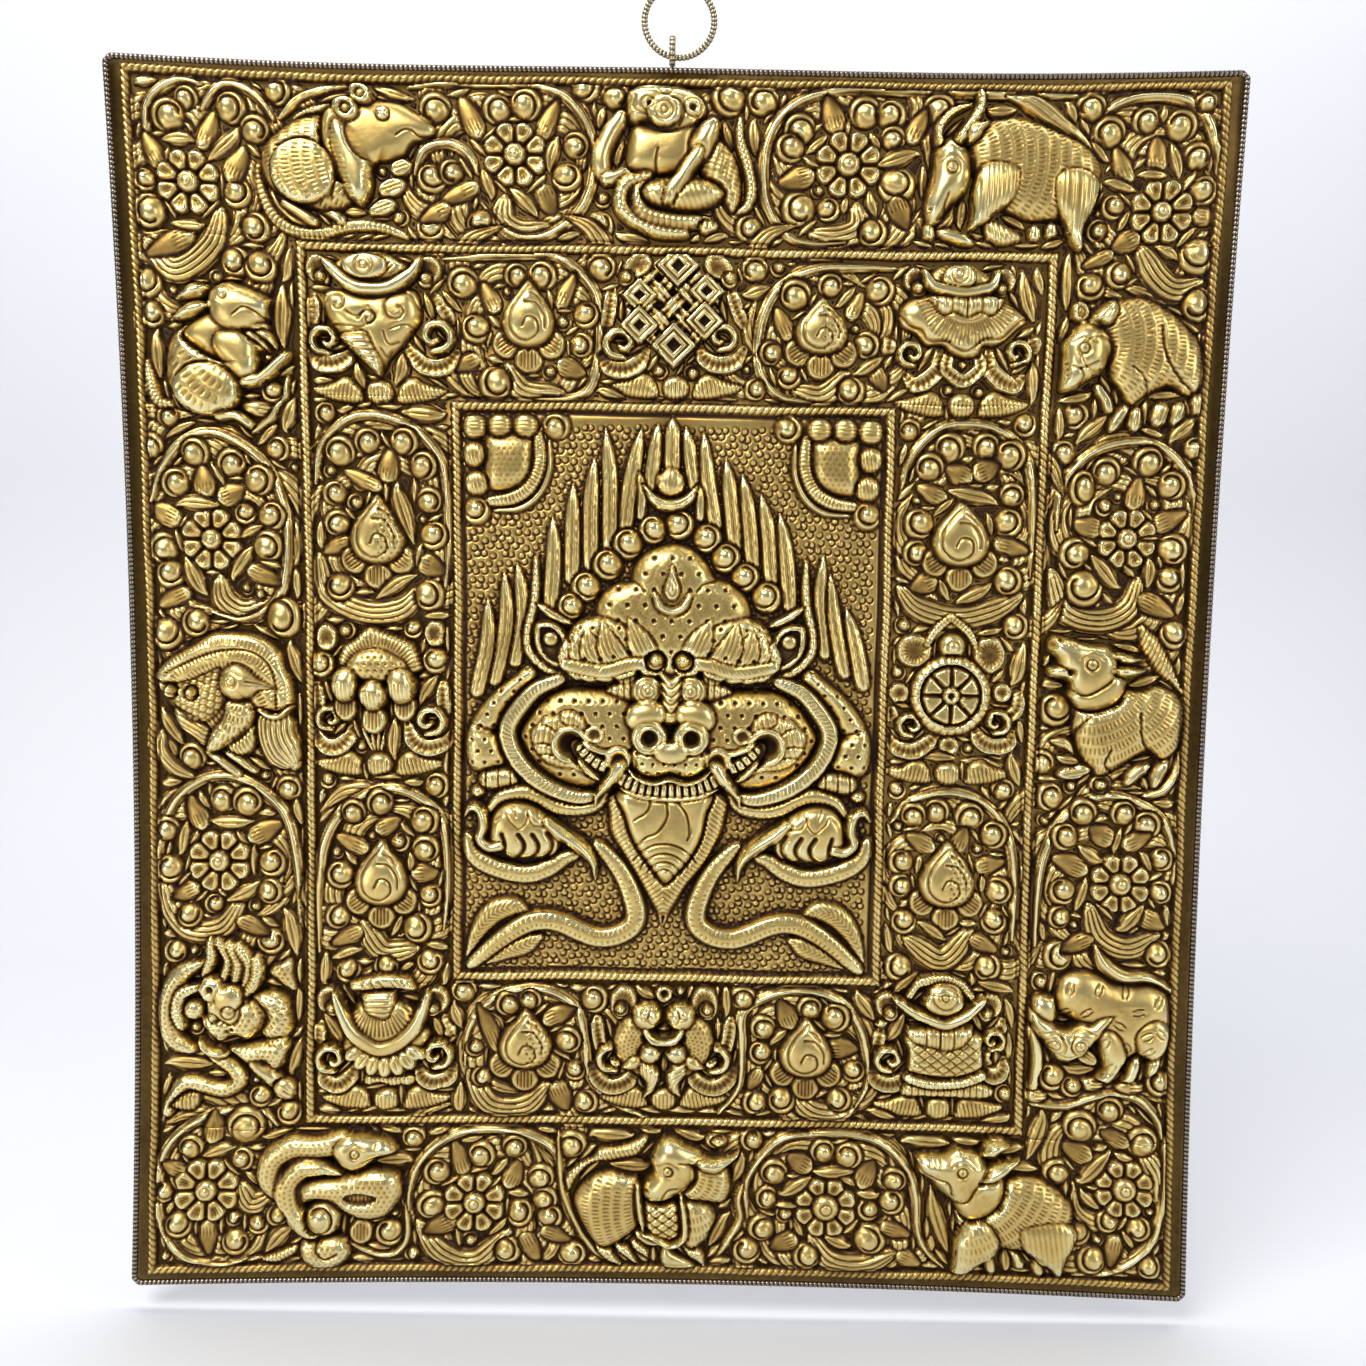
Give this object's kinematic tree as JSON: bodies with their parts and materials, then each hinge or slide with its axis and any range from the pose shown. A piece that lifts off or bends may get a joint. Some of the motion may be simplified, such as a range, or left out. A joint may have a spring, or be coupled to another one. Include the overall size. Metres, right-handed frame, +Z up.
{
  "type": "brass wall plaque",
  "caption": "Upright rectangular wall plaque of embossed sheet brass, with a guardian mask, emblems and animals inside rope borders, hung by a small ring.",
  "frame": {"origin": "where the nail or hook bears, inside the top of the hanging ring", "axes": "+Z up the wall, +X to the viewer's right, +Y into the wall; the embossed side faces -Y"},
  "size_m": [0.4599, 0.0145, 0.548],
  "materials": {
    "sheet_brass": "embossed, polished on the high parts, dark patina in the hollows",
    "wire_brass": "milled wire, dulled and dark"
  },
  "bodies": {
    "root": {"embossed_panel": "sheet_brass", "edge_wire": "wire_brass", "hanging_eye": "wire_brass", "hanging_ring": "wire_brass"}
  },
  "joints": []
}
